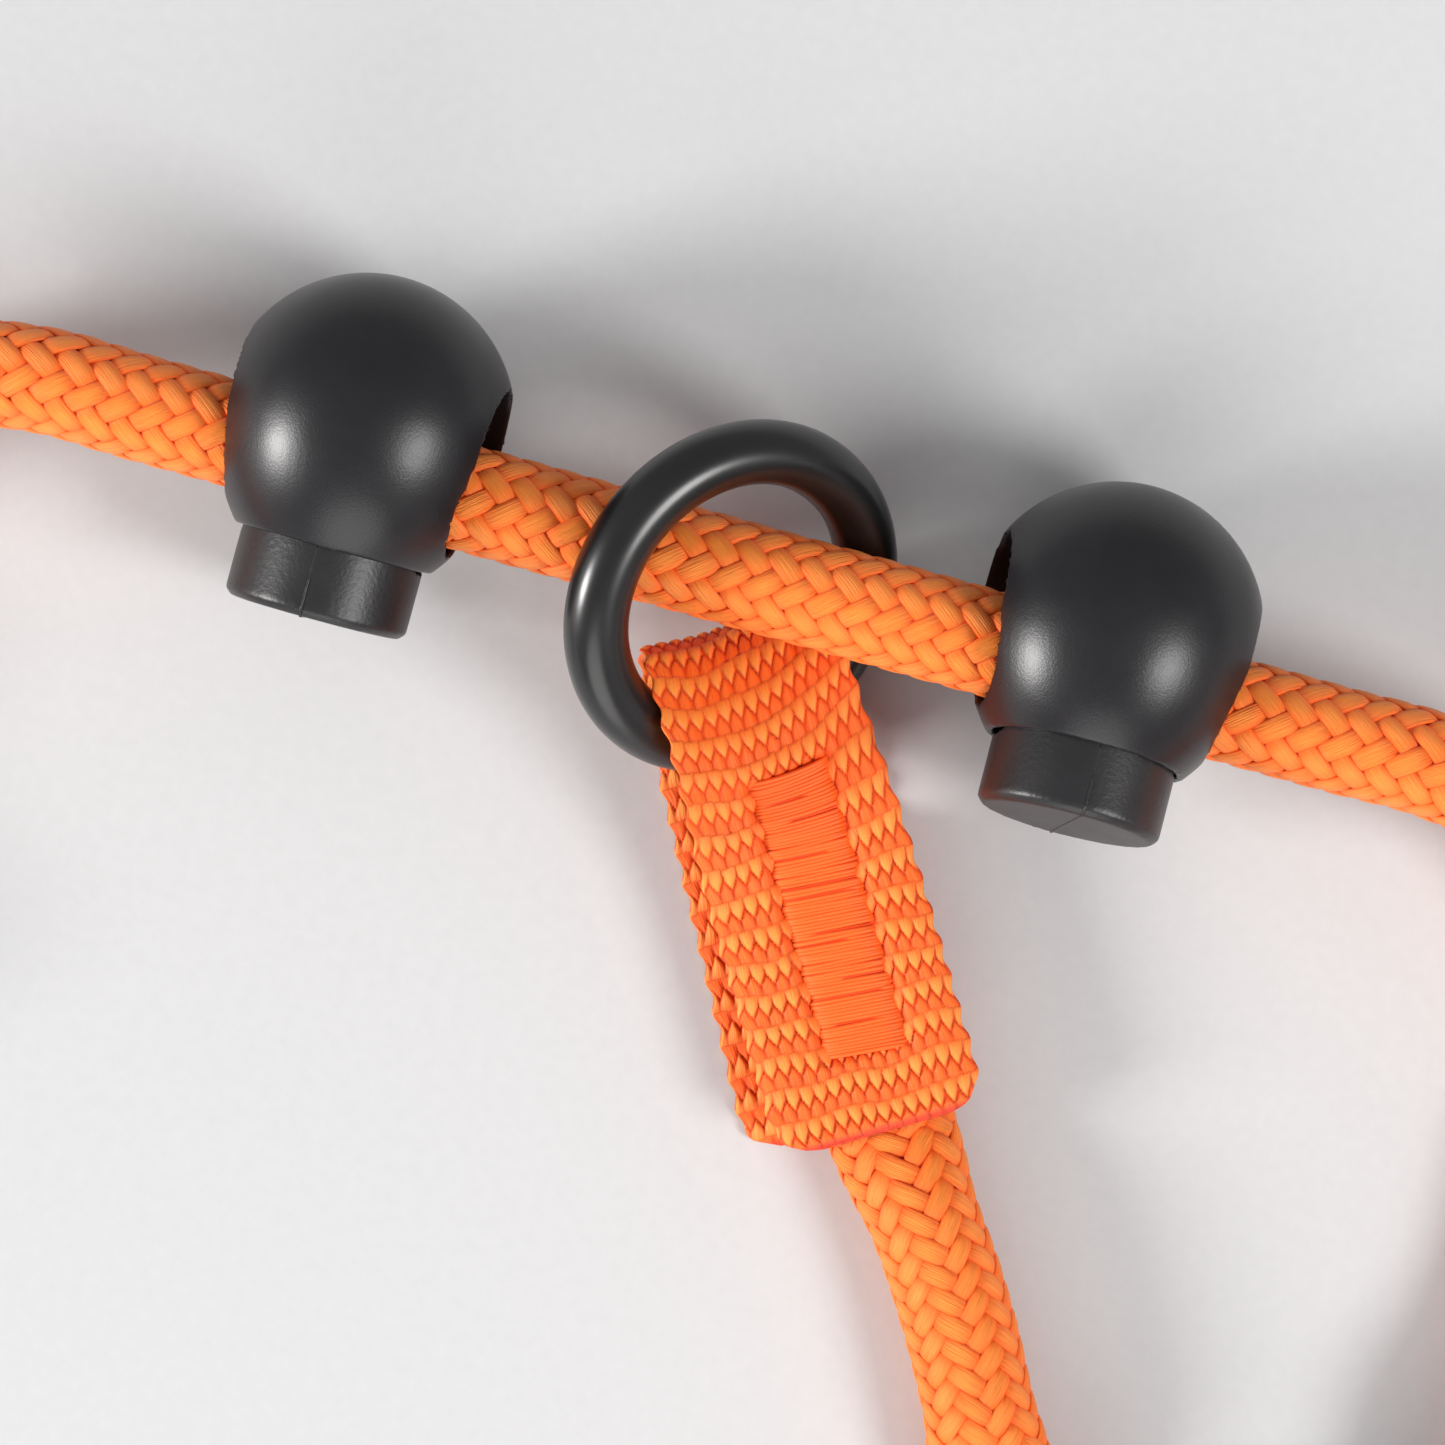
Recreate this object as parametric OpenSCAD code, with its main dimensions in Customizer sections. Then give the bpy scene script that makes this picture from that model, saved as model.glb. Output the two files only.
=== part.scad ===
/* [Ropes] */
// Diameter of the braided ropes
rope_d = 8; // [6:0.5:8]
// Height of the side rope's centre where it runs through the locks
rope_z = 11.6; // [11.5:0.05:11.7]
// How far a lock's slide leaves the side rope straight, each way from the middle
straight_half = 46; // [45:0.5:47]

/* [Rings] */
// Radius of each ring, to the middle of its wire
ring_r = 11.55; // [11.5:0.05:11.6]
// Diameter of the ring wire
wire_d = 4.8; // [4:0.1:4.8]
// Tilt of the rung's ring out of the ground plane
ring_tilt = 39.5; // [39:0.25:40]
// Compass direction in which the rung's ring rises, from the side rope's +X
ring_rise = 157.5; // [156:0.5:159]
// Height of the middle of the rung's ring
ring_z = 10.95; // [10.9:0.05:11]

/* [Webbing tabs] */
// Thickness of the webbing
web_t = 1; // [0.8:0.05:1]
// Width of the webbing
web_w = 16; // [14:0.5:16]
// Angle between the rung and the side rope
rung_angle = 58.4; // [57:0.2:60]
// Width of the block of bar-tack stitches
tack_w = 6.2; // [5:0.2:7]
// Thickness of the stitches above the webbing
tack_t = 0.5; // [0.3:0.1:0.7]

/* [Cord locks] */
// Radius of the ball-shaped lock body
ball_r = 11; // [11:0.1:11.2]
// Distance from the rope's centre to the ball's centre
ball_offset = 3.5; // [3.4:0.1:3.6]
// Radius of the push button and plunger
button_r = 6.9; // [6.7:0.05:6.9]
// Total length of a lock, from the ball's top to the button's face
lock_len = 26; // [25.5:0.25:26.5]
// Travel of the button when it is pressed
press_travel = 2; // [1.5:0.1:2]
// Half width of the rope's slot through the lock body
body_slot_half = 5.3; // [5.3:0.05:5.4]
// Length of the rope's slot through the lock body
body_slot_len = 13; // [12.5:0.25:13]
// Distance of the left lock from the ring's middle
left_lock_x = 29.5; // [29.5:0.5:32]
// Distance of the right lock from the ring's middle
right_lock_x = 28.1; // [28:0.5:32]

/* [Layout] */
// Y of the side rope, which centres the whole object on the origin
rail_y = 46.25; // [40:0.05:50]
// Where each end of the side rope starts to turn towards the rung, from the middle
turn_x = 54; // [53.5:0.5:55]
// Radius of the side rope's turn at each end
turn_r = 23.5; // [23:0.5:24.5]
// Length of the rung, from its first fold to its far tab's mouth
rung_len = 66; // [64:0.5:68]

/* [Hidden] */
$fn = 96;

rope_orange = "#f6812f";
web_orange = "#f9702b";
thread_orange = "#ff6428";
lock_black = "#2b2a2c";
ring_black = "#1c1b1b";
steel = "#b9bcc0";

rope_r = rope_d / 2;
wire_r = wire_d / 2;
fit = 0.05;

// A rope's end is pressed to this half height and half width between the two layers of webbing.
flat_half_h = 2.1;
flat_half_w = 5;
flat_z = 3.3;
// The slack rung rope settles a little where it lies on the ground.
lying_half_h = 3.75;
lying_half_w = 4.3;

// Side rope, from the middle outwards: distance from the middle, sideways shift, height of the
// centre, half height and half width of the section. It sinks to the ground as it turns.
side_half = [
  [straight_half, 0, rope_z, rope_r, rope_r],
  [turn_x, 0, 11.1, rope_r, rope_r],
  [63, -1.8, 9.1, rope_r, rope_r],
  [70.6, -6.9, 6.7, rope_r, rope_r],
  [75.7, -14.5, 4.5, 3.3, 4.4],
  [turn_x + turn_r, -turn_r, flat_z, flat_half_h, flat_half_w],
  [turn_x + turn_r, -28.5, flat_z, flat_half_h, flat_half_w],
  [turn_x + turn_r, -39.5, flat_z, flat_half_h, flat_half_w]];
side_inner = [for (x = [0 : 11.5 : 35]) [x, 0, rope_z, rope_r, rope_r]];

// Rung rope: distance along the rung from its first fold, sideways shift, height of the centre,
// half height and half width of the section.
rung_route = [
  [14, 0, flat_z, flat_half_h, flat_half_w],
  [26, 0, flat_z, flat_half_h, flat_half_w],
  [36.5, 0.1, flat_z, 2.15, flat_half_w],
  [40, 0.3, 3.6, 2.9, 4.8],
  [44, 0.6, 3.8, lying_half_h, lying_half_w],
  [49, 0.9, 3.8, lying_half_h, lying_half_w],
  [54, 0.9, 3.8, lying_half_h, lying_half_w],
  [59, 0.6, 3.8, lying_half_h, lying_half_w],
  [63, 0.3, 3.6, 2.9, 4.8],
  [66.5, 0.1, flat_z, 2.15, flat_half_w],
  [73, 0, flat_z, flat_half_h, flat_half_w],
  [82, 0, flat_z, flat_half_h, flat_half_w]];

// Webbing of the rung's tab, from the front layer's end round the ring to the back layer's end:
// distance along the rung from the fold, height, how far the strip follows the tilted ring,
// sideways shift and how much of the half width is left.
rung_line = [
  [37, 6, 0, 0, 0.62], [36.6, 6, 0, 0, 0.8], [35.6, 6, 0, 0, 0.94], [34, 6, 0, 0, 1],
  [30, 6, 0, 0, 1], [24, 6, 0, 0, 1], [17, 6.1, 0.1, 0, 1], [11.5, 6.8, 0.5, 0, 1],
  [8, 7.6, 0.9, 0, 1], [5, 8, 1, 0, 1], [2, 7.8, 1, 0, 1], [-0.9, 6.8, 1, 0, 1],
  [-2.4, 4.8, 1, 0, 1], [-2.3, 2.7, 0.8, -0.1, 1], [-0.8, 1.1, 0.4, -0.3, 1],
  [1.2, 0.65, 0.1, -0.4, 1], [3, 0.6, 0, -0.5, 1], [6, 0.6, 0, -0.8, 1], [15, 0.6, 0, -1.3, 1],
  [25, 0.6, 0, -1.8, 1], [33, 0.6, 0, -2.2, 1], [35, 0.6, 0, -2.3, 0.93], [36.2, 0.6, 0, -2.3, 0.7]];

// Webbing of an end tab, measured from the axis on which its ring flaps.
end_line = [
  [27, 6, 0, 0, 0.62], [26.6, 6, 0, 0, 0.8], [25.6, 6, 0, 0, 0.94], [24, 6, 0, 0, 1],
  [19, 6, 0, 0, 1], [14, 6.1, 0, 0, 1], [10, 6.8, 0, 0, 1], [6.5, 8, 0, 0, 1],
  [3, 9, 0, 0, 1], [-1, 9.3, 0, 0, 1], [-4.7, 8.3, 0, 0, 1], [-6.3, 6.3, 0, 0, 1],
  [-6.6, 4.2, 0, 0, 1], [-6, 1.8, 0, 0, 1], [-3.8, 0.6, 0, 0, 1], [0, 0.5, 0, 0, 1],
  [5, 0.5, 0, 0, 1], [13, 0.5, 0, 0, 1], [19, 0.5, 0, 0, 1], [24, 0.5, 0, 0, 1],
  [25.4, 0.5, 0, 0, 0.93], [26.4, 0.5, 0, 0, 0.7]];

// The strip's cross-section bends with the tilted ring: height and length shift at s mm sideways.
lift = [-0.38, 0.042];
reach = [-0.22, -0.03];
// The right edge stops short of the side rope and the left edge runs past the ring.
strip_shift = -0.5;
strip_squeeze = [0.6, 0.7];

end_x = turn_x + turn_r;
end_axis_y = rail_y - turn_r - 27;
end_axis_z = 4.7;
ring_inset = sqrt(ring_r * ring_r - web_w * web_w / 4);
flap_arm = (ring_inset + ring_r) / 2;
end_droop = asin((end_axis_z - wire_r) / (flap_arm + ring_r));
far_axis = rung_len + 27;

button_face = ball_r + ball_offset - lock_len;
body_rim = -6.2;
bore_top = 10.9;
plunger_top = 6.9;
seat_depth = 1.2;
plunger_slot = [-4.4 - press_travel, 4.45];
plunger_slot_half = 4.9;
body_slot_low = -4.6;
spring_r = 3.4;
spring_wire = 0.6;
spring_turns = 4.5;
left_pose = [2, -5.5];
right_pose = [-8, 5.5];

function spline_point(a, b, c, d, u) =
  0.5 * (2 * b + (c - a) * u + (2 * a - 5 * b + 4 * c - d) * u * u
    + (3 * b - a - 3 * c + d) * u * u * u);
function smooth(p, steps) = [
  for (i = [0 : len(p) - 2])
    for (k = [0 : steps - 1])
      spline_point(p[max(i - 1, 0)], p[i], p[i + 1], p[min(i + 2, len(p) - 1)], k / steps),
  p[len(p) - 1]];
function unit(v) = v / norm(v);
function ahead(p, i) = p[min(i + 1, len(p) - 1)] - p[max(i - 1, 0)];

// A closed skin over rings of points that all have the same even count.
module skin(rings) {
  count = len(rings[0]);
  last = (len(rings) - 1) * count;
  sides = [
    for (i = [0 : count : last - count])
      for (k = [0 : count - 1])
        let (n = (k + 1) % count)
          each [[i + k, i + n, i + count + n], [i + k, i + count + n, i + count + k]]];
  caps = [
    for (k = [0 : count / 2 - 2])
      let (a = k + 1, b = count - 2 - k, c = count - 1 - k)
        each concat(
          a == b ? [] : [[b, a, k], [last + k, last + a, last + b]],
          [[c, b, k], [last + k, last + b, last + c]])];
  polyhedron(points = [for (ring = rings) each ring], faces = concat(sides, caps));
}

// A rope through points of [along, sideways, height, half height, half width].
module rope(route, steps) {
  line = smooth(route, steps);
  skin([
    for (i = [0 : len(line) - 1])
      let (
        way = ahead(line, i),
        forward = unit([way[0], way[1], way[2]]),
        side = unit([-forward[1], forward[0], 0]),
        up = cross(forward, side),
        middle = [line[i][0], line[i][1], line[i][2]])
        [for (k = [0 : 11]) middle
          - side * line[i][4] * cos(k * 30) + up * line[i][3] * sin(k * 30)]]);
}

// A strip of webbing or stitches along a line, seen from the side, and across its width.
module strip(line, left, right, thick, off) {
  path = smooth(line, 3);
  across = 6;
  skin([
    for (i = [0 : len(path) - 1])
      let (
        way = unit([ahead(path, i)[0], ahead(path, i)[1]]),
        out = [way[1], -way[0]],
        lo = (left + strip_squeeze[0] * path[i][2]) * path[i][4],
        hi = (right - strip_squeeze[1] * path[i][2]) * path[i][4],
        at = function (s, h) [
          path[i][0] + path[i][2] * (reach[0] * s + reach[1] * s * s) + out[0] * h,
          s + path[i][3],
          path[i][1] + path[i][2] * (lift[0] * s + lift[1] * s * s) + out[1] * h])
        concat(
          [for (k = [0 : across]) at(lo + (hi - lo) * k / across, off - thick / 2)],
          [for (k = [across : -1 : 0]) at(lo + (hi - lo) * k / across, off + thick / 2)])]);
}

// The strip's stretch under the stitches, a part of the front layer.
function tack_line(line, from, to) = [
  for (p = line) if (p[0] > from && p[0] < to && p[1] > 3) [p[0], p[1], p[2], 0, 1]];

module ring() {
  rotate_extrude($fn = 96)
    translate([ring_r, 0])
      circle(r = wire_r, $fn = 48);
}

// Places its children with +X along the rung, starting at the rung's fold.
module at_rung(along) {
  translate([2.7, rail_y - 5.5, 0])
    rotate([0, 0, -rung_angle])
      translate([along, 0, 0])
        children();
}

// Places its children at an end tab's flap axis, with +X towards the tab's mouth.
module at_end(side) {
  translate([side * end_x, end_axis_y, 0])
    rotate([0, 0, 90])
      children();
}

// A ring that hangs in an end tab's fold and droops until it meets the ground.
module flap_ring() {
  translate([0, 0, end_axis_z])
    rotate([0, -end_droop, 0])
      translate([-flap_arm, 0, 0])
        ring();
}

module end_web() {
  strip(end_line, -web_w / 2, web_w / 2, web_t, 0);
}

module end_tack() {
  strip(tack_line(end_line, 9, 24.5), -tack_w / 2, tack_w / 2, tack_t, (web_t + tack_t) / 2);
}

// Half of the lock body's outline, turned about the button's axis: a ball above its middle and
// a slimmer, longer curve below it that ends in the rim round the button.
module body_outline() {
  low = ball_offset - body_rim;
  rim_r = button_r + 0.56;
  swell = (low * low + rim_r * rim_r - ball_r * ball_r) / (2 * (ball_r - rim_r));
  intersection() {
    circle(r = ball_r);
    square(ball_r);
  }
  intersection() {
    translate([-swell, 0])
      circle(r = ball_r + swell);
    translate([0, -low])
      square([ball_r, low]);
  }
}

// A slot along X through a lock, with round ends.
module slot_cut(low, high, half) {
  for (y = [low + half, high - half])
    translate([0, y, 0])
      rotate([0, 90, 0])
        cylinder(r = half, h = 40, center = true);
  translate([-20, low + half, -half])
    cube([40, high - low - 2 * half, 2 * half]);
}

module lock_body() {
  difference() {
    translate([0, ball_offset, 0])
      rotate([-90, 0, 0])
        rotate_extrude()
          body_outline();
    translate([0, button_face - 1, 0])
      rotate([-90, 0, 0])
        cylinder(r = button_r + fit, h = bore_top - button_face + 1);
    slot_cut(body_slot_low, body_slot_low + body_slot_len, body_slot_half);
  }
  translate([0, bore_top - 1.4, 0])
    rotate([-90, 0, 0])
      cylinder(r = 2.5, h = 1.6);
}

module lock_button() {
  chamfer = 0.5;
  difference() {
    translate([0, button_face, 0])
      rotate([-90, 0, 0])
        rotate_extrude()
          polygon([
            [0, 0], [button_r - chamfer, 0], [button_r, chamfer],
            [button_r, plunger_top - button_face - chamfer],
            [button_r - chamfer, plunger_top - button_face],
            [0, plunger_top - button_face]]);
    slot_cut(plunger_slot[0], plunger_slot[1], plunger_slot_half);
    translate([0, plunger_top - seat_depth, 0])
      rotate([-90, 0, 0])
        cylinder(r = spring_r + 0.7, h = 2);
  }
}

module lock_spring() {
  low = plunger_top - seat_depth + spring_wire / 2 + fit;
  high = bore_top - spring_wire / 2 - fit;
  count = spring_turns * 16;
  skin([
    for (i = [0 : count])
      let (
        turn = i * 22.5,
        out = [cos(turn), 0, sin(turn)],
        middle = out * spring_r + [0, low + (high - low) * i / count, 0])
        [for (k = [0 : 7]) middle
          + out * spring_wire / 2 * cos(k * 45) + [0, spring_wire / 2 * sin(k * 45), 0]]]);
}

// Places a lock's parts on the rope: x along the rope, then its roll about the rope and its pitch.
module at_lock(x, pose) {
  translate([x, rail_y, rope_z])
    rotate([pose[0], pose[1], 0])
      children();
}

module side_rope() {
  half = concat(side_inner, side_half);
  left = [for (i = [len(half) - 1 : -1 : 1])
    [-half[i][0], half[i][1], half[i][2], half[i][3], half[i][4]]];
  color(rope_orange)
    translate([0, rail_y, 0])
      rope(concat(left, half), 3);
}

module rung_rope() {
  color(rope_orange)
    at_rung(0)
      rope(rung_route, 2);
}

module left_end_tab() { color(web_orange) at_end(-1) end_web(); }
module right_end_tab() { color(web_orange) at_end(1) end_web(); }
module left_end_bartack() { color(thread_orange) at_end(-1) end_tack(); }
module right_end_bartack() { color(thread_orange) at_end(1) end_tack(); }
module left_end_ring() { color(ring_black) at_end(-1) flap_ring(); }
module right_end_ring() { color(ring_black) at_end(1) flap_ring(); }

module left_lock_body() { color(lock_black) at_lock(-left_lock_x, left_pose) lock_body(); }
module left_lock_button() { color(lock_black) at_lock(-left_lock_x, left_pose) lock_button(); }
module left_lock_spring() { color(steel) at_lock(-left_lock_x, left_pose) lock_spring(); }
module right_lock_body() { color(lock_black) at_lock(right_lock_x, right_pose) lock_body(); }
module right_lock_button() { color(lock_black) at_lock(right_lock_x, right_pose) lock_button(); }
module right_lock_spring() { color(steel) at_lock(right_lock_x, right_pose) lock_spring(); }

module rung_ring() {
  color(ring_black)
    translate([0, rail_y - 1.8, ring_z])
      rotate([0, 0, ring_rise])
        rotate([0, -ring_tilt, 0])
          ring();
}

module rung_tab() {
  color(web_orange)
    at_rung(0)
      strip(rung_line, strip_shift - web_w / 2, strip_shift + web_w / 2, web_t, 0);
}

module rung_bartack() {
  color(thread_orange)
    at_rung(0)
      strip(tack_line(rung_line, 8.5, 31), -tack_w / 2, tack_w / 2, tack_t, (web_t + tack_t) / 2);
}

module far_tab() { color(web_orange) at_rung(far_axis) rotate([0, 0, 180]) end_web(); }
module far_bartack() { color(thread_orange) at_rung(far_axis) rotate([0, 0, 180]) end_tack(); }
module far_ring() { color(ring_black) at_rung(far_axis) rotate([0, 0, 180]) flap_ring(); }

side_rope();
left_end_tab();
left_end_bartack();
left_end_ring();
right_end_tab();
right_end_bartack();
right_end_ring();
left_lock_body();
left_lock_button();
left_lock_spring();
right_lock_body();
right_lock_button();
right_lock_spring();
rung_ring();
rung_tab();
rung_bartack();
rung_rope();
far_tab();
far_bartack();
far_ring();
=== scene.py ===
"""Looks of the rope ladder's rung joint: braided ropes, woven tabs, stitches, cord locks and rings."""
import math

import bpy
import numpy as np
from mathutils import Matrix, Vector


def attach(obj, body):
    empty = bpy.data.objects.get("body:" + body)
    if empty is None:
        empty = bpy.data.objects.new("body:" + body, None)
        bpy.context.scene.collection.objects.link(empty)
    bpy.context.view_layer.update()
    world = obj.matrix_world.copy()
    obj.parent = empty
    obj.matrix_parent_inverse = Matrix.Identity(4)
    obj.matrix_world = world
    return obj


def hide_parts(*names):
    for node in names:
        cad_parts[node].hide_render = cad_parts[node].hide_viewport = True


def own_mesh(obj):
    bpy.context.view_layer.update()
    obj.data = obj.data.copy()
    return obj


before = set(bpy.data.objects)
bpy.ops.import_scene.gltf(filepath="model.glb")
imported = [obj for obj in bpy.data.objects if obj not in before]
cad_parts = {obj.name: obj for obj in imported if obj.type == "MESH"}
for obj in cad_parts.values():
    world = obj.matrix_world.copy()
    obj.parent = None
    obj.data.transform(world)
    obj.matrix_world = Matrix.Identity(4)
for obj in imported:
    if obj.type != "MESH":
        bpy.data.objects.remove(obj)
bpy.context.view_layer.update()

# ---------------------------------------------------------------- driving dimensions, in metres
ROPE_R = 0.004
RAIL_Y = 0.04625
ROPE_Z = 0.0116
RUNG_TOP = (0.0027, RAIL_Y - 0.0055)
RUNG_ANGLE = math.radians(58.4)
RUNG_LEN = 0.066
TURN_X = 0.054
TURN_R = 0.0235
END_X = TURN_X + TURN_R
END_AXIS_Y = RAIL_Y - TURN_R - 0.027
FAR_AXIS = RUNG_LEN + 0.027
WEB_T = 0.001
WEB_HALF = 0.008
RING_R = 0.01155
WIRE_R = 0.0024

# ---------------------------------------------------------------- routes, repeated from part.scad
# distance from the middle, sideways shift, height, half height and half width of the section
SIDE_HALF = [(0.0, 0.0, 0.0116, 0.004, 0.004), (0.0115, 0.0, 0.0116, 0.004, 0.004),
             (0.023, 0.0, 0.0116, 0.004, 0.004), (0.0345, 0.0, 0.0116, 0.004, 0.004),
             (0.046, 0.0, 0.0116, 0.004, 0.004), (0.054, 0.0, 0.0111, 0.004, 0.004),
             (0.063, -0.0018, 0.0091, 0.004, 0.004), (0.0706, -0.0069, 0.0067, 0.004, 0.004),
             (0.0757, -0.0145, 0.0045, 0.0033, 0.0044), (0.0775, -0.0235, 0.0033, 0.0021, 0.005),
             (0.0775, -0.0285, 0.0033, 0.0021, 0.005), (0.0775, -0.0395, 0.0033, 0.0021, 0.005)]
# distance along the rung, sideways shift, height, half height and half width of the section
RUNG_ROUTE = [(0.014, 0.0, 0.0033, 0.0021, 0.005), (0.026, 0.0, 0.0033, 0.0021, 0.005),
              (0.0365, 0.0001, 0.0033, 0.00215, 0.005), (0.040, 0.0003, 0.0036, 0.0029, 0.0048),
              (0.044, 0.0006, 0.0038, 0.00375, 0.0043), (0.049, 0.0009, 0.0038, 0.00375, 0.0043),
              (0.054, 0.0009, 0.0038, 0.00375, 0.0043), (0.059, 0.0006, 0.0038, 0.00375, 0.0043),
              (0.063, 0.0003, 0.0036, 0.0029, 0.0048), (0.0665, 0.0001, 0.0033, 0.00215, 0.005),
              (0.073, 0.0, 0.0033, 0.0021, 0.005), (0.082, 0.0, 0.0033, 0.0021, 0.005)]
# distance from the fold, height, how far it follows the tilted ring, sideways shift, width share
RUNG_LINE = [(0.037, 0.006, 0, 0, 0.62), (0.0366, 0.006, 0, 0, 0.8), (0.0356, 0.006, 0, 0, 0.94),
             (0.034, 0.006, 0, 0, 1), (0.030, 0.006, 0, 0, 1), (0.024, 0.006, 0, 0, 1),
             (0.017, 0.0061, 0.1, 0, 1), (0.0115, 0.0068, 0.5, 0, 1), (0.008, 0.0076, 0.9, 0, 1),
             (0.005, 0.008, 1, 0, 1), (0.002, 0.0078, 1, 0, 1), (-0.0009, 0.0068, 1, 0, 1),
             (-0.0024, 0.0048, 1, 0, 1), (-0.0023, 0.0027, 0.8, -0.0001, 1),
             (-0.0008, 0.0011, 0.4, -0.0003, 1), (0.0012, 0.00065, 0.1, -0.0004, 1),
             (0.003, 0.0006, 0, -0.0005, 1), (0.006, 0.0006, 0, -0.0008, 1),
             (0.015, 0.0006, 0, -0.0013, 1), (0.025, 0.0006, 0, -0.0018, 1),
             (0.033, 0.0006, 0, -0.0022, 1), (0.035, 0.0006, 0, -0.0023, 0.93),
             (0.0362, 0.0006, 0, -0.0023, 0.7)]
END_LINE = [(0.027, 0.006, 0, 0, 0.62), (0.0266, 0.006, 0, 0, 0.8), (0.0256, 0.006, 0, 0, 0.94),
            (0.024, 0.006, 0, 0, 1), (0.019, 0.006, 0, 0, 1), (0.014, 0.0061, 0, 0, 1),
            (0.010, 0.0068, 0, 0, 1), (0.0065, 0.008, 0, 0, 1), (0.003, 0.009, 0, 0, 1),
            (-0.001, 0.0093, 0, 0, 1), (-0.0047, 0.0083, 0, 0, 1), (-0.0063, 0.0063, 0, 0, 1),
            (-0.0066, 0.0042, 0, 0, 1), (-0.006, 0.0018, 0, 0, 1), (-0.0038, 0.0006, 0, 0, 1),
            (0.0, 0.0005, 0, 0, 1), (0.005, 0.0005, 0, 0, 1), (0.013, 0.0005, 0, 0, 1),
            (0.019, 0.0005, 0, 0, 1), (0.024, 0.0005, 0, 0, 1), (0.0254, 0.0005, 0, 0, 0.93),
            (0.0264, 0.0005, 0, 0, 0.7)]

# ---------------------------------------------------------------- camera and light
ROLL = math.radians(15.5)
VIEW_CENTRE = Vector((0.0018, 0.0353, 0))
CAMERA_HEIGHT = 0.5
VIEW_WIDTH = 0.107


def from_view(right, up, height):
    """A point given by how far it lies right of and above the view's middle, and its height."""
    return VIEW_CENTRE + Matrix.Rotation(ROLL, 3, "Z") @ Vector((right, up, height))


def make_camera():
    data = bpy.data.cameras.new("camera")
    data.sensor_width = 36
    data.lens = data.sensor_width * (CAMERA_HEIGHT - ROPE_Z) / VIEW_WIDTH
    data.clip_start = 0.01
    camera = bpy.data.objects.new("camera", data)
    camera.location = from_view(0, 0, CAMERA_HEIGHT)
    camera.rotation_euler = (0, 0, ROLL)
    bpy.context.scene.collection.objects.link(camera)
    bpy.context.scene.camera = camera


def softbox(name, place, size, watts, color):
    data = bpy.data.lights.new(name, "AREA")
    data.shape = "DISK"
    data.size = size
    data.energy = watts
    data.color = color
    lamp = bpy.data.objects.new(name, data)
    lamp.location = from_view(*place)
    lamp.rotation_euler = (from_view(0, 0, ROPE_Z) - lamp.location).to_track_quat("-Z", "Y").to_euler()
    bpy.context.scene.collection.objects.link(lamp)


make_camera()
softbox("left_softbox", (-1.00, -0.13, 0.41), 0.34, 13.2, (1, 0.985, 0.97))
softbox("right_softbox", (0.72, -0.36, 0.74), 0.43, 8.2, (1, 0.985, 0.97))
softbox("front_fill", (-0.11, -0.94, 0.38), 0.80, 4.2, (1, 0.98, 0.96))
world = bpy.data.worlds.new("studio")
world.use_nodes = True
world.node_tree.nodes["Background"].inputs["Color"].default_value = (0.95, 0.97, 1, 1)
world.node_tree.nodes["Background"].inputs["Strength"].default_value = 0.42
bpy.context.scene.world = world
bpy.context.scene.view_settings.view_transform = "Standard"


# ---------------------------------------------------------------- curves and meshes
def smooth(points, steps):
    """The Catmull-Rom curve through points, as part.scad draws it."""
    p = np.array(points, float)
    last = len(p) - 1
    u = (np.arange(steps) / steps)[:, None]
    out = []
    for i in range(last):
        a, b, c, d = p[max(i - 1, 0)], p[i], p[i + 1], p[min(i + 2, last)]
        out.append(0.5 * (2 * b + (c - a) * u + (2 * a - 5 * b + 4 * c - d) * u ** 2
                          + (3 * b - a - 3 * c + d) * u ** 3))
    return np.vstack(out + [p[-1:]])


def arc_length(points):
    return np.concatenate([[0], np.cumsum(np.linalg.norm(np.diff(points, axis=0), axis=1))])


def resample(line, lengths, at):
    return np.column_stack([np.interp(at, lengths, line[:, k]) for k in range(line.shape[1])])


def unit(v):
    return v / np.linalg.norm(v, axis=-1, keepdims=True)


class Shape:
    """Gathers tubes and skins, with named values at their points, into one mesh."""

    def __init__(self, *fields):
        self.points = []
        self.faces = []
        self.fields = {name: [] for name in fields}
        self.count = 0

    def add_skin(self, rings, caps=True, **values):
        """rings is an array of rows of points; each row closes on itself."""
        rows, around = rings.shape[:2]
        index = np.arange(rows * around).reshape(rows, around) + self.count
        nxt = np.roll(index, -1, axis=1)
        quads = np.stack([index[:-1], nxt[:-1], nxt[1:], index[1:]], axis=-1).reshape(-1, 4)
        self.faces += quads.tolist()
        if caps:
            self.faces += [index[0, ::-1].tolist(), index[-1].tolist()]
        self.points.append(rings.reshape(-1, 3))
        for name, store in self.fields.items():
            store.append(np.broadcast_to(values[name], (rows, around)).reshape(-1))
        self.count += rows * around

    def build(self, name, place=Matrix.Identity(4)):
        mesh = bpy.data.meshes.new(name)
        mesh.from_pydata(np.vstack(self.points).tolist(), [], self.faces)
        for field, store in self.fields.items():
            mesh.attributes.new(field, "FLOAT", "POINT").data.foreach_set(
                "value", np.concatenate(store).astype(np.float32))
        mesh.transform(place)
        mesh.shade_smooth()
        mesh.update()
        piece = bpy.data.objects.new(name, mesh)
        bpy.context.scene.collection.objects.link(piece)
        return piece


def tube_rings(centres, normals, half_width, half_height, around):
    """Rings of an oval tube; normals point to where the oval is thin."""
    ahead = unit(np.gradient(centres, axis=0))
    normals = unit(normals - ahead * np.sum(normals * ahead, axis=1, keepdims=True))
    across = np.cross(ahead, normals)
    turn = np.arange(around) * 2 * math.pi / around
    wide = np.broadcast_to(half_width, len(centres))[:, None, None]
    high = np.broadcast_to(half_height, len(centres))[:, None, None]
    return (centres[:, None] + across[:, None] * np.cos(turn)[None, :, None] * wide
            + normals[:, None] * np.sin(turn)[None, :, None] * high)


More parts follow.
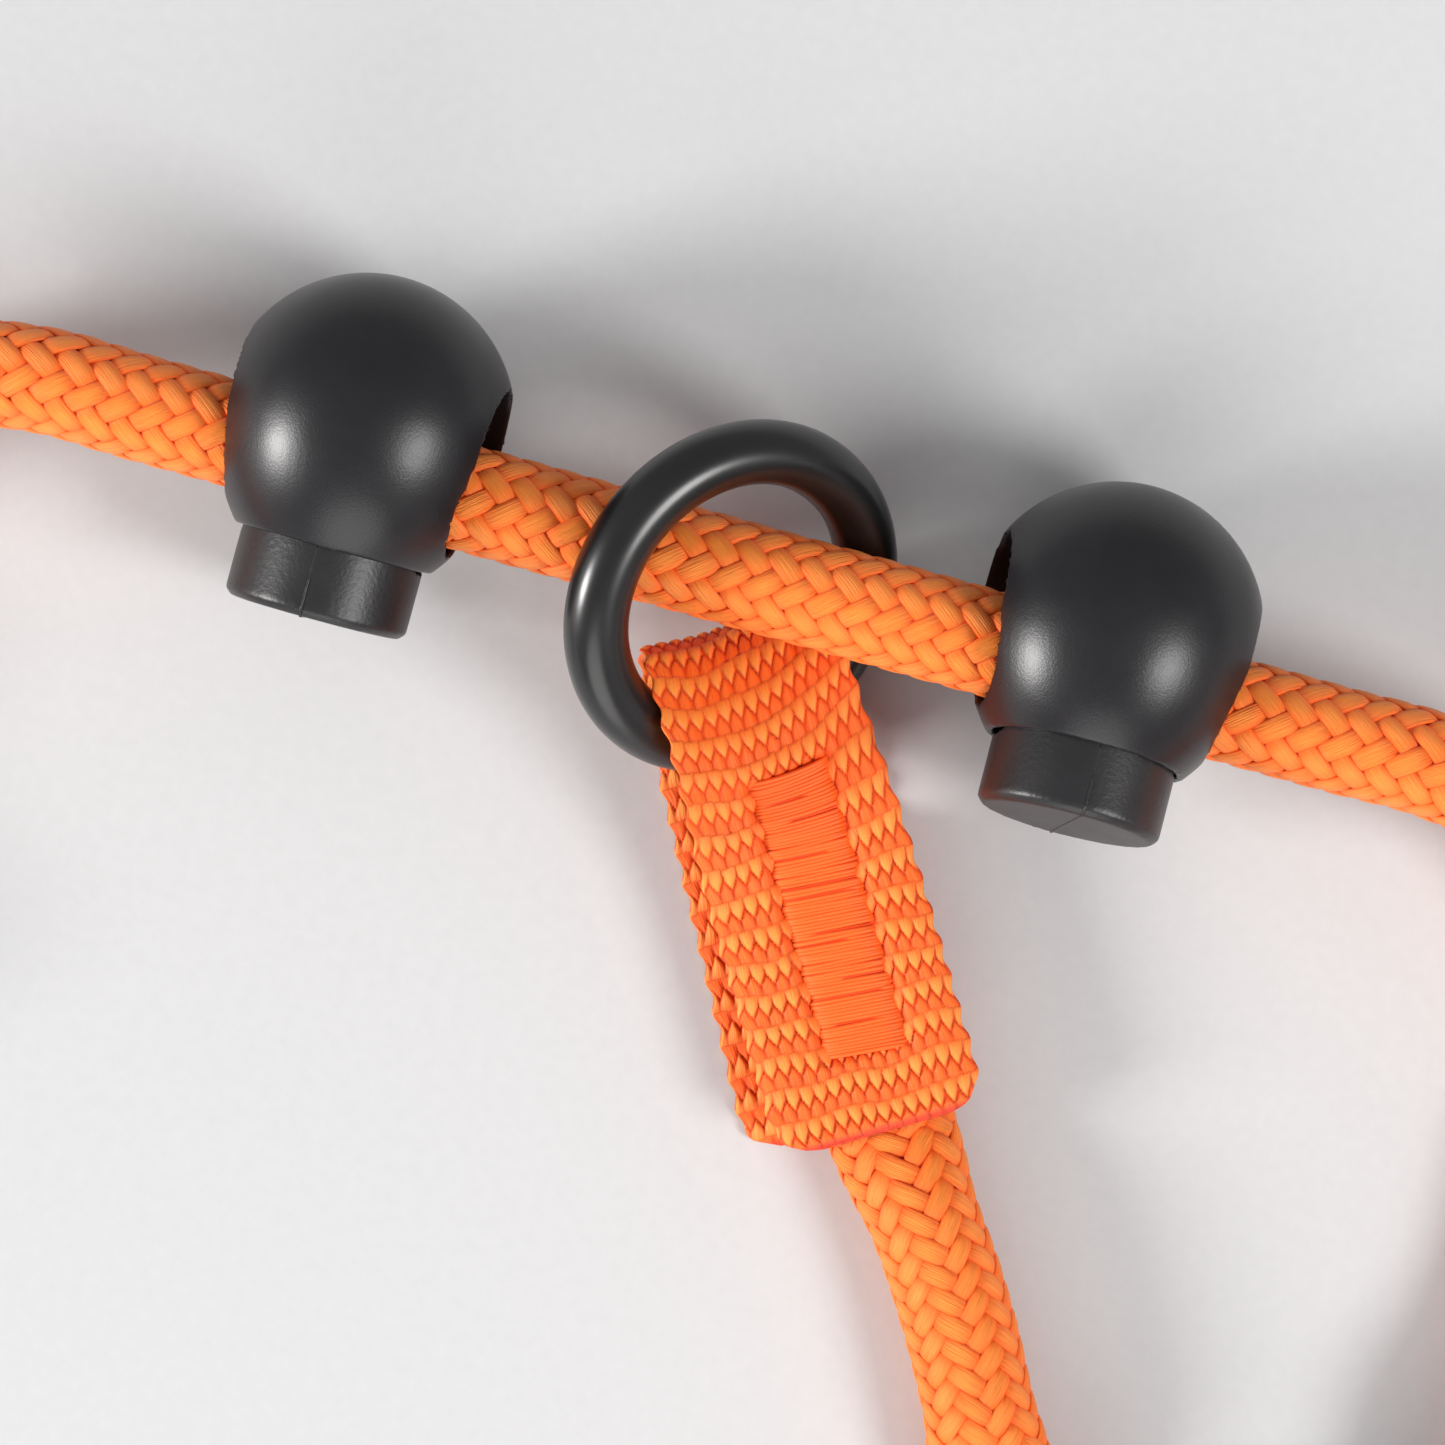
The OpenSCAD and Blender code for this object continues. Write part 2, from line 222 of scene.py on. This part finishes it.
# ---------------------------------------------------------------- materials
class Nodes:
    """Short names for building a material's nodes."""

    def __init__(self, name):
        self.material = bpy.data.materials.new(name)
        self.material.use_nodes = True
        self.tree = self.material.node_tree
        self.shader = self.tree.nodes["Principled BSDF"]

    def set(self, **values):
        for name, value in values.items():
            self.shader.inputs[name.replace("_", " ").title().replace("Ior", "IOR")].default_value = value

    def add(self, kind, **settings):
        node = self.tree.nodes.new("ShaderNode" + kind)
        for name, value in settings.items():
            setattr(node, name, value)
        return node

    def link(self, source, target):
        self.tree.links.new(source, target)

    def field(self, name):
        return self.add("Attribute", attribute_name=name).outputs["Fac"]

    def math(self, operation, a, b=0.0):
        node = self.add("Math", operation=operation)
        for socket, value in zip(node.inputs, (a, b)):
            if isinstance(value, (int, float)):
                socket.default_value = value
            else:
                self.link(value, socket)
        return node.outputs[0]

    def vector(self, x, y, z):
        node = self.add("CombineXYZ")
        for socket, value in zip(node.inputs, (x, y, z)):
            if isinstance(value, (int, float)):
                socket.default_value = value
            else:
                self.link(value, socket)
        return node.outputs[0]

    def noise(self, vector, scale, detail=3.0, roughness=0.55):
        node = self.add("TexNoise")
        node.inputs["Scale"].default_value = scale
        node.inputs["Detail"].default_value = detail
        node.inputs["Roughness"].default_value = roughness
        self.link(vector, node.inputs["Vector"])
        return node.outputs["Fac"]

    def ramp(self, factor, *stops):
        node = self.add("ValToRGB")
        ramp = node.color_ramp
        while len(ramp.elements) < len(stops):
            ramp.elements.new(0.5)
        for element, (place, color) in zip(ramp.elements, stops):
            element.position = place
            element.color = (*color, 1)
        self.link(factor, node.inputs["Fac"])
        return node.outputs["Color"]

    def mix(self, factor, a, b):
        node = self.add("Mix", data_type="RGBA")
        for socket, value in ((node.inputs[0], factor), (node.inputs[6], a), (node.inputs[7], b)):
            if isinstance(value, tuple):
                socket.default_value = (*value, 1)
            elif isinstance(value, (int, float)):
                socket.default_value = value
            else:
                self.link(value, socket)
        return node.outputs[2]

    def bump(self, height, distance, strength=1.0):
        node = self.add("Bump")
        node.inputs["Distance"].default_value = distance
        node.inputs["Strength"].default_value = strength
        self.link(height, node.inputs["Height"])
        self.link(node.outputs["Normal"], self.shader.inputs["Normal"])


def yarn_material(name, shade_and_dark_fibre, body, light, filaments, line_depth, melted=None):
    """Orange yarn: fine filament lines along it, with painted shade, darker and redder, where it dips under
    others and a painted highlight where it rides on top.
    """
    n = Nodes(name)
    along, across, yarn, high = (n.field(f) for f in ("along", "across", "yarn", "high"))
    lines = n.noise(n.vector(n.math("MULTIPLY", along, 350), n.math("MULTIPLY", across, filaments),
                             n.math("MULTIPLY", yarn, 40)), 1.0)
    blotch = n.noise(n.vector(n.math("MULTIPLY", along, 260), n.math("MULTIPLY", yarn, 9), 0), 1.0, 2.0)
    # high is painted light: painted highlight on crests and outer faces, painted shade in dips and gaps;
    # lines and blotch are the fibre's own tone
    tone = n.math("ADD", n.math("MULTIPLY", high, 0.64),
                  n.math("ADD", n.math("MULTIPLY", lines, 0.44), n.math("MULTIPLY", blotch, 0.18)))
    # the darkest stop serves painted shade and dark fibre, the palest stop painted highlight and pale fibre
    color = n.ramp(tone, (0.12, shade_and_dark_fibre), (0.55, body), (0.98, light))
    if melted:
        color = n.mix(n.field("melt"), color, melted)
    n.link(color, n.shader.inputs["Base Color"])
    n.link(n.math("ADD", 0.42, n.math("MULTIPLY", lines, 0.22)), n.shader.inputs["Roughness"])
    n.set(specular_ior_level=0.36, sheen_weight=0.05, sheen_roughness=0.4)
    n.bump(lines, line_depth)
    return n.material


def moulded_material(name, dark, pale, roughness, grain, depth):
    """Moulded plastic: slight mottling, fine grain and faint rubbed patches."""
    n = Nodes(name)
    place = n.add("TexCoord").outputs["Object"]
    fine = n.noise(place, grain, 4.0, 0.6)
    broad = n.noise(place, 220, 3.0)
    n.link(n.ramp(broad, (0.3, dark), (0.75, pale)), n.shader.inputs["Base Color"])
    n.link(n.math("ADD", roughness - 0.05, n.math("MULTIPLY", broad, 0.1)), n.shader.inputs["Roughness"])
    n.set(specular_ior_level=0.42)
    n.bump(fine, depth)
    return n


ROPE = yarn_material("rope_braid", (0.90, 0.052, 0.003), (1.0, 0.140, 0.009), (1.0, 0.275, 0.038),
                     filaments=9, line_depth=0.00019)
WEBBING = yarn_material("webbing", (0.84, 0.045, 0.002), (0.96, 0.108, 0.006), (0.98, 0.310, 0.050),
                        filaments=5, line_depth=0.00009, melted=(0.80, 0.052, 0.014))
THREAD = yarn_material("bartack_thread", (0.70, 0.036, 0.003), (0.92, 0.098, 0.008), (0.96, 0.160, 0.018),
                       filaments=3, line_depth=0.00003)
LOCK = moulded_material("lock_plastic", (0.0080, 0.0072, 0.0086), (0.0115, 0.0103, 0.0124),
                        roughness=0.33, grain=5200, depth=0.000012).material
BUTTON = moulded_material("button_plastic", (0.0125, 0.012, 0.013), (0.019, 0.018, 0.0195),
                          roughness=0.38, grain=2600, depth=0.00003).material
ring_nodes = moulded_material("ring_gloss", (0.0055, 0.005, 0.005), (0.0075, 0.007, 0.007),
                              roughness=0.30, grain=1500, depth=0.000004)
ring_nodes.set(coat_weight=0.25, coat_roughness=0.22)
RING = ring_nodes.material


def steel_material():
    n = Nodes("spring_wire")
    along = n.math("MULTIPLY", n.field("along"), 900)
    drawn = n.noise(n.vector(along, n.math("MULTIPLY", n.field("across"), 6), 0), 1.0)
    n.link(n.ramp(drawn, (0.3, (0.42, 0.43, 0.45)), (0.7, (0.62, 0.63, 0.65))), n.shader.inputs["Base Color"])
    n.set(metallic=1.0, roughness=0.28)
    n.bump(drawn, 0.00001)
    return n.material


STEEL = steel_material()


def finish_piece(piece, material, slot, body, *replaced):
    piece.data.materials.clear()
    piece.data.materials.append(material)
    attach(piece, body)
    if replaced:
        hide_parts(*replaced)
    return piece


# ---------------------------------------------------------------- braided ropes
YARNS = 12
YARN_HALF_THICK = 0.00026
YARN_SWING = 0.00026
BRAID_R = ROPE_R - YARN_HALF_THICK - YARN_SWING
CORE_R = 0.00300


def braid(name, route, place, pitch, yarn_half_width):
    """A 24-strand braid, 12 strands each way, each passing over two and under two.

    Whether a strand is over or under depends only on where it is round the rope, which gives
    the 12 columns of bricks that lean to one side and the other by turns.
    """
    line = smooth(route, 12)
    lengths = arc_length(line[:, :3])
    total = lengths[-1]
    at = np.linspace(0, total, int(total / pitch * 24 * 5) + 1)
    line = resample(line, lengths, at)
    centre, high, wide = line[:, :3], line[:, 3], line[:, 4]
    forward = unit(np.gradient(centre, axis=0))
    side = unit(np.column_stack([-forward[:, 1], forward[:, 0], np.zeros(len(at))]))
    up = np.cross(forward, side)
    shape = Shape("along", "across", "yarn", "high")
    around = 10
    profile = np.cos(np.arange(around) * 2 * math.pi / around)
    outward = np.clip(np.sin(np.arange(around) * 2 * math.pi / around), 0, 1)
    rng = np.random.default_rng(7)
    for hand in (1, -1):
        for k in range(YARNS):
            theta = 2 * math.pi * k / YARNS + hand * 2 * math.pi * at / pitch
            wave = hand * np.cos(6 * theta - math.pi / 4)
            over = np.tanh(2.2 * wave) / math.tanh(2.2)
            radius = (BRAID_R + YARN_SWING * over) / ROPE_R
            out = side * (np.cos(theta) / wide)[:, None] + up * (np.sin(theta) / high)[:, None]
            middle = (centre + side * (np.cos(theta) * wide * radius)[:, None]
                      + up * (np.sin(theta) * high * radius)[:, None])
            width = yarn_half_width * (1 + 0.10 * over) * (1 + 0.03 * rng.standard_normal())
            rings = tube_rings(middle, out, width, YARN_HALF_THICK, around)
            # lit is painted light: yarns paler where they cross over and on their outer face, painted shade
            # where they go under and face inwards
            lit = np.clip(0.5 + 0.5 * wave, 0, 1)[:, None] * (0.35 + 0.65 * outward[None])
            shape.add_skin(rings, along=at[:, None] + 0.37 * k, across=profile[None],
                           yarn=rng.random(), high=lit)
    turn = np.arange(24) * 2 * math.pi / 24
    core = CORE_R / ROPE_R
    rings = (centre[::6, None] + side[::6, None] * (np.cos(turn)[None] * wide[::6, None] * core)[..., None]
             + up[::6, None] * (np.sin(turn)[None] * high[::6, None] * core)[..., None])
    # high=0.0 paints the core in the painted shade colour
    shape.add_skin(rings, along=at[::6, None], across=0.0, yarn=0.5, high=0.0)
    return shape.build(name, place), [place @ Vector(p) for p in centre[::30]] + [place @ Vector(centre[-1])]


def at_rung(along, flip=False):
    place = Matrix.Translation((*RUNG_TOP, 0)) @ Matrix.Rotation(-RUNG_ANGLE, 4, "Z")
    place = place @ Matrix.Translation((along, 0, 0))
    return place @ Matrix.Rotation(math.pi, 4, "Z") if flip else place


def at_end(side):
    return Matrix.Translation((side * END_X, END_AXIS_Y, 0)) @ Matrix.Rotation(math.pi / 2, 4, "Z")


left_half = [(-x, y, z, h, w) for x, y, z, h, w in SIDE_HALF[:0:-1]]
side_rope, side_path = braid(
    "side_rope_braid", left_half + SIDE_HALF, Matrix.Translation((0, RAIL_Y, 0)), 0.0294, 0.00080)
finish_piece(side_rope, ROPE, "rope", "rail", "side_rope")
rung_rope, rung_path = braid("rung_rope_braid", RUNG_ROUTE, at_rung(0), 0.0246, 0.00076)
finish_piece(rung_rope, ROPE, "rope", "rung", "rung_rope")

# ---------------------------------------------------------------- woven tabs
TOOTH = 0.00106
ROW = 0.00250
TIPS = (0.26, 0.66)
SLIT = 0.000085
FLANK_SLOPE = 0.52
CROWN = 1.2
STRIP_SHIFT = -0.0005
SQUEEZE = (0.0006, 0.0007)
LIFT = (-0.38, 42.0)
REACH = (-0.22, -30.0)
MELT_BAND = 0.0008
TACK_HALF = 0.0031
RUNG_TACK = (0.0092, 0.0309)
END_TACK = (0.0095, 0.0240)
FINE_MESH = 0.00013
PLAIN_MESH = 0.00021
GAPS = {7: (-0.6, 0.2), 13: (-0.2, 0.9), 24: (-0.9, 0.3), 33: (-1.0, 0.9), 36: (-0.8, 0.6), 47: (-0.4, 1.0),
        50: (-1.0, 0.2), 61: (0.0, 1.0), 66: (-1.0, 0.7), 74: (-0.5, 0.4)}


def step(value, low, high):
    t = np.clip((value - low) / (high - low), 0, 1)
    return t * t * (3 - 2 * t)


class Strip:
    """A folded strip of webbing; at() gives points on it, as part.scad's strip does."""

    def __init__(self, line, shift, spacing):
        path = smooth(line, 12)
        lengths = arc_length(path[:, :2])
        self.length = lengths[-1]
        self.along = np.linspace(0, self.length, int(self.length / spacing) + 1)
        self.path = resample(path, lengths, self.along)
        ahead = unit(np.gradient(self.path[:, :2], axis=0))
        self.out = np.column_stack([ahead[:, 1], -ahead[:, 0]])
        follow, share = self.path[:, 2], self.path[:, 4]
        self.low = (shift - WEB_HALF + SQUEEZE[0] * follow) * share
        self.high = (shift + WEB_HALF - SQUEEZE[1] * follow) * share

    def at(self, rows, s, height):
        p, out = self.path[rows], self.out[rows]
        px, pz, follow, sideways = p[..., 0], p[..., 1], p[..., 2], p[..., 3]
        x = px + follow * (REACH[0] * s + REACH[1] * s * s) + out[..., 0] * height
        z = pz + follow * (LIFT[0] * s + LIFT[1] * s * s) + out[..., 1] * height
        return np.stack([x, s + sideways, z], axis=-1)


def weave(s, along, phase):
    """Height from 0 to 1 of the warp-faced weave, the yarn's number and the place across it.

    Bands of raised teeth that point away from the fold lock into lower teeth that point to it.
    A narrow slit runs between them and a little way up between neighbours; its low height is also used as
    painted shade.
    """
    slow_wander = 0.00016 * np.sin(s / 0.0021 + along / 0.0037)
    quick_wander = 0.00009 * np.sin(along / 0.0017 - s / 0.0009)
    along = along + slow_wander + quick_wander
    s = s + 0.00006 * np.sin(along / 0.0013)
    column = np.round(s / TOOTH)
    off = s / TOOTH - column
    u = np.abs(off)
    v = np.mod(along / ROW + 0.5 * phase + 0.035 * np.sin(7.3 * column), 1)
    gap = (v - (TIPS[0] + 2 * (TIPS[1] - TIPS[0]) * u)) * ROW * FLANK_SLOPE
    raised = gap > 0
    crest = 0.60 + 0.40 * np.sin(math.pi * np.clip((v - TIPS[0]) / (1 - TIPS[0]), 0, 1)) ** 0.8
    lower = 0.50 + 0.10 * v
    height = np.where(raised, crest * (1 - CROWN * u * u), lower * (1 - CROWN * (0.5 - u) ** 2))
    slit = np.exp(-(gap / SLIT) ** 2)
    above = np.exp(-((0.5 - u) * TOOTH / SLIT) ** 2) * (1 - step(v, TIPS[1], 0.92)) * (v > TIPS[1] - 0.05)
    below = np.exp(-(u * TOOTH / SLIT) ** 2) * step(v, 0.0, TIPS[0] - 0.04) * (v < TIPS[0] + 0.05)
    height = height * (1 - 0.95 * np.maximum(slit, 0.85 * np.maximum(above, below)))
    inside = np.where(raised, 2 * off, 2 * off - np.sign(off))
    return height, column + np.where(raised, 0, 0.5 * np.sign(off)), inside


def tab(name, line, shift, place, tack, spacing):
    strip = Strip(line, shift, spacing)
    rows = np.arange(len(strip.along))[:, None]
    across = int(2 * WEB_HALF / spacing)
    q = np.linspace(-1, 1, across)[None]
    s = strip.low[:, None] + (strip.high - strip.low)[:, None] * (q + 1) / 2
    along = np.broadcast_to(strip.along[:, None], s.shape)
    body = (1 - np.abs(q) ** 7) ** 0.5
    ends = np.minimum(along, strip.length - along)
    melt = 1 - step(ends, 0.3 * MELT_BAND, MELT_BAND)
    front_layer = strip.path[:, 1][:, None] > 0.003
    forward = strip.path[:, 0][:, None]
    # sunk lowers the front layer under the bar tack and also paints it darker as painted shade
    sunk = (step(forward, tack[0] - 0.0006, tack[0] + 0.0004)
            * (1 - step(forward, tack[1] - 0.0004, tack[1] + 0.0006))
            * (1 - step(np.abs(s), TACK_HALF - 0.0002, TACK_HALF + 0.0009)) * front_layer)
    faces, values = [], []
    scallop = 1 + 0.020 * np.sin(2 * math.pi * along / ROW + 1.5 * np.sign(q)) * np.abs(q) ** 6 * (1 - melt)
    for way, phase in ((1, 0), (-1, 1)):
        relief, owner, inside = weave(s, along, phase)
        relief = relief * (1 - melt) + 0.55 * melt
        thick = (WEB_T / 2 - 0.00038 + 0.00046 * relief) * body * (1 - 0.55 * melt)
        if way > 0:
            thick = thick - 0.00042 * sunk
        faces.append(strip.at(rows, s * scallop, way * thick))
        # the third value is painted light: low weave, slits and the sunk tack area are painted darker as
        # shade
        values.append((owner, inside, relief * (1 - 0.35 * sunk)))
    rings = np.concatenate([faces[0], faces[1][:, -2:0:-1]], axis=1)

    def around(front, back):
        return np.concatenate([front, back[:, -2:0:-1]], axis=1)

    shape = Shape("along", "across", "yarn", "high", "melt")
    shape.add_skin(rings, along=around(along, along), across=around(values[0][1], values[1][1]),
                   yarn=np.abs(np.sin(12.9898 * around(values[0][0], values[1][0]))),
                   high=around(values[0][2], values[1][2]), melt=around(melt, melt))
    return shape.build(name, place), strip


def stitches(name, strip, place, tack):
    """Satin stitches side by side over the front layer, and their locks on the back layer."""
    rng = np.random.default_rng(11)
    shape = Shape("along", "across", "yarn", "high")
    profile = np.arange(6) * 2 * math.pi / 6
    t = np.linspace(-1, 1, 13)
    for front in (True, False):
        layer = (strip.path[:, 1] > 0.003) == front
        rows = np.where(layer)[0]
        order = rows[np.argsort(strip.path[rows, 0])]
        pitch = 0.00026 if front else 0.00042
        radius = 0.00019 if front else 0.00013
        crown, lift = (0.00010, 0.00008) if front else (0.00002, WEB_T / 2 - 0.00012)
        for k, forward in enumerate(np.arange(tack[0], tack[1], pitch)):
            start, stop = GAPS.get(k, (2, 2)) if front else (2, 2)
            thin = step(t, start - 0.15, start) * (1 - step(t, stop, stop + 0.15))
            half = TACK_HALF + 0.00006 * rng.standard_normal()
            slope = 0.00004 * rng.standard_normal() + 0.0003
            thick = radius * (1 + 0.08 * rng.standard_normal()) * (1 - 0.42 * thin)
            s = t * half
            place_along = forward + slope * t
            picked = np.interp(place_along, strip.path[order, 0], order.astype(float))
            picked = np.clip(np.round(picked).astype(int), 0, len(strip.along) - 1)
            dive = 0.00045 * np.abs(t) ** 6
            bed = WEB_T / 2 - 0.00028 if front else 0
            height = bed + lift + crown * (1 - t * t) - dive - 0.00010 * thin
            centres = strip.at(picked, s, height)
            centres[:, 0] += place_along - strip.path[picked, 0]
            normals = np.column_stack([strip.out[picked, 0], np.zeros(len(t)), strip.out[picked, 1]])
            rings = tube_rings(centres, normals, thick, thick, len(profile))
            # lit is painted light: a painted highlight along each thread's top, painted shade on the thinned,
            # lower stitches
            lit = (0.9 - 0.6 * thin)[:, None] * (0.45 + 0.55 * np.clip(np.sin(profile), 0, 1))[None]
            shape.add_skin(rings, along=s[:, None] + k * 0.01, across=np.cos(profile)[None],
                           yarn=rng.random(), high=lit)
    return shape.build(name, place)


def dressed_tab(prefix, line, shift, place, tack, body, spacing):
    """A tab and its bar tack, which replace the CAD nodes of the same names."""
    webbing, strip = tab(prefix + "_webbing", line, shift, place, tack, spacing)
    finish_piece(webbing, WEBBING, "webbing", body, prefix + "_tab")
    tacked = finish_piece(stitches(prefix + "_stitches", strip, place, tack), THREAD, "thread", body,
                          prefix + "_bartack")
    return [webbing, tacked]


dressed_tab("rung", RUNG_LINE, STRIP_SHIFT, at_rung(0), RUNG_TACK, "rung", FINE_MESH)
far_fittings = dressed_tab("far", END_LINE, 0, at_rung(FAR_AXIS, flip=True), END_TACK, "rung", PLAIN_MESH)
left_fittings = dressed_tab("left_end", END_LINE, 0, at_end(-1), END_TACK, "rail", PLAIN_MESH)
right_fittings = dressed_tab("right_end", END_LINE, 0, at_end(1), END_TACK, "rail", PLAIN_MESH)

# ---------------------------------------------------------------- rings
END_AXIS_Z = 0.0047
RING_INSET = math.sqrt(RING_R ** 2 - WEB_HALF ** 2)
FLAP_ARM = (RING_INSET + RING_R) / 2
END_DROOP = math.asin((END_AXIS_Z - WIRE_R) / (FLAP_ARM + RING_R))
FLAP_PLACE = (Matrix.Translation((0, 0, END_AXIS_Z)) @ Matrix.Rotation(-END_DROOP, 4, "Y")
              @ Matrix.Translation((-FLAP_ARM, 0, 0)))
RUNG_RING_PLACE = (Matrix.Translation((0, RAIL_Y - 0.0018, 0.01095))
                   @ Matrix.Rotation(math.radians(157.5), 4, "Z")
                   @ Matrix.Rotation(math.radians(-39.5), 4, "Y"))


def ring(name, place, body, node):
    """A closed ring of round wire with the faint raised line where its mould halves met."""
    turn = np.arange(240) * 2 * math.pi / 240
    wire = np.arange(56) * 2 * math.pi / 56
    seam = 0.00005 * np.exp(-((np.angle(np.exp(1j * (wire - math.pi)))) / 0.05) ** 2)
    radius = WIRE_R + seam
    out = RING_R + radius * np.cos(wire)
    rows = np.stack([np.outer(np.cos(turn), out), np.outer(np.sin(turn), out),
                     np.broadcast_to(radius * np.sin(wire), (240, 56))], axis=-1)
    shape = Shape()
    shape.add_skin(np.concatenate([rows, rows[:1]]), caps=False)
    piece = shape.build(name, place)
    weld = piece.modifiers.new("weld", "WELD")
    weld.merge_threshold = 0.000001
    bake_modifiers(piece)
    return finish_piece(piece, RING, "ring", body, node)


def bake_modifiers(piece):
    bpy.context.view_layer.update()
    evaluated = piece.evaluated_get(bpy.context.evaluated_depsgraph_get())
    mesh = bpy.data.meshes.new_from_object(evaluated)
    piece.modifiers.clear()
    piece.data = mesh
    mesh.shade_smooth()


rung_ring = ring("rung_ring_wire", RUNG_RING_PLACE, "near_ring", "rung_ring")
far_ring = ring("far_ring_wire", at_rung(FAR_AXIS, flip=True) @ FLAP_PLACE, "far_rung_ring", "far_ring")
left_ring = ring("left_end_ring_wire", at_end(-1) @ FLAP_PLACE, "left_ring", "left_end_ring")
right_ring = ring("right_end_ring_wire", at_end(1) @ FLAP_PLACE, "right_ring", "right_end_ring")

# ---------------------------------------------------------------- cord locks
LEFT_LOCK_X = -0.0295
RIGHT_LOCK_X = 0.0281
LEFT_POSE = (math.radians(2), math.radians(-5.5))
RIGHT_POSE = (math.radians(-8), math.radians(5.5))
BUTTON_R = 0.0069
BUTTON_FACE = -0.0115
RIM = -0.0062
PLUNGER_SEAT = 0.0057
BORE_TOP = 0.0109
SPRING_R = 0.0034
SPRING_WIRE_R = 0.0003
PRESS_TRAVEL = 0.002


def at_lock(x, pose):
    return (Matrix.Translation((x, RAIL_Y, ROPE_Z)) @ Matrix.Rotation(pose[1], 4, "Y")
            @ Matrix.Rotation(pose[0], 4, "X"))


def softened(name, node, voxel, passes):
    """The CAD node's shape with its sharp moulded edges rounded over."""
    piece = bpy.data.objects.new(name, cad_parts[node].data.copy())
    bpy.context.scene.collection.objects.link(piece)
    weld = piece.modifiers.new("weld", "WELD")
    weld.merge_threshold = 0.000002
    remesh = piece.modifiers.new("remesh", "REMESH")
    remesh.mode = "VOXEL"
    remesh.voxel_size = voxel
    ease = piece.modifiers.new("ease", "SMOOTH")
    ease.iterations = passes
    ease.factor = 0.5
    bake_modifiers(piece)
    return piece


def parting_line(name, place, body):
    """The mould's thin raised line, down the button's side, across its face and up again.

    Where the side goes into the bore when the button is pressed, the line lies lower to clear it.
    """
    corner = 0.0005
    face = BUTTON_FACE
    side = BUTTON_R
    low = side - 0.00008
    dry = RIM - PRESS_TRAVEL - 0.0002
    points = [(-low, RIM), (-low, dry), (-side, dry - 0.0003), (-side, face + corner),
              (-side + corner, face), (0, face), (side - corner, face),
              (side, face + corner), (side, dry - 0.0003), (low, dry), (low, RIM)]
    line = np.array([(0, y, z) for z, y in points])
    lengths = arc_length(line)
    line = resample(line, lengths, np.linspace(0, lengths[-1], 120))
    shape = Shape()
    shape.add_skin(tube_rings(line, np.broadcast_to([1.0, 0, 0], line.shape), 0.00009, 0.00011, 8))
    return finish_piece(shape.build(name, place), BUTTON, "lock", body)


def spring(name, place, body, node):
    turns, low, high = 4.5, PLUNGER_SEAT + SPRING_WIRE_R, BORE_TOP - SPRING_WIRE_R
    turn = np.linspace(0, turns * 2 * math.pi, 220)
    centres = np.column_stack([SPRING_R * np.cos(turn), low + (high - low) * turn / turn[-1],
                               SPRING_R * np.sin(turn)])
    out = centres * [1, 0, 1]
    shape = Shape("along", "across")
    shape.add_skin(tube_rings(centres, out, SPRING_WIRE_R, SPRING_WIRE_R, 10),
                   along=arc_length(centres)[:, None], across=np.cos(np.arange(10) * math.pi / 5)[None])
    piece = finish_piece(shape.build(name, place), STEEL, "spring", body, node)
    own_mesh(piece)


for side, x, pose in (("left", LEFT_LOCK_X, LEFT_POSE), ("right", RIGHT_LOCK_X, RIGHT_POSE)):
    lock_place = at_lock(x, pose)
    shell = softened(side + "_lock_shell", side + "_lock_body", 0.0002, 5)
    finish_piece(shell, LOCK, "lock", side + "_lock", side + "_lock_body")
    knob = softened(side + "_lock_knob", side + "_lock_button", 0.0002, 4)
    finish_piece(knob, BUTTON, "lock", side + "_button", side + "_lock_button")
    parting_line(side + "_lock_parting_line", lock_place, side + "_button")
    spring(side + "_lock_coil", lock_place, side + "_lock", side + "_lock_spring")


# ---------------------------------------------------------------- floor
def make_floor():
    half = 3.0
    mesh = bpy.data.meshes.new("floor")
    corners = [(-half, -half, 0), (half, -half, 0), (half, half, 0), (-half, half, 0)]
    mesh.from_pydata(corners, [], [(0, 1, 2, 3)])
    floor = bpy.data.objects.new("floor", mesh)
    floor.location.z = -0.00005
    bpy.context.scene.collection.objects.link(floor)
    n = Nodes("pale_surface")
    grain = n.noise(n.add("TexCoord").outputs["Object"], 900, 4.0)
    tone = n.ramp(grain, (0.3, (0.575, 0.577, 0.580)), (0.7, (0.595, 0.597, 0.600)))
    n.link(tone, n.shader.inputs["Base Color"])
    n.set(roughness=0.7, specular_ior_level=0.2)
    mesh.materials.append(n.material)


make_floor()
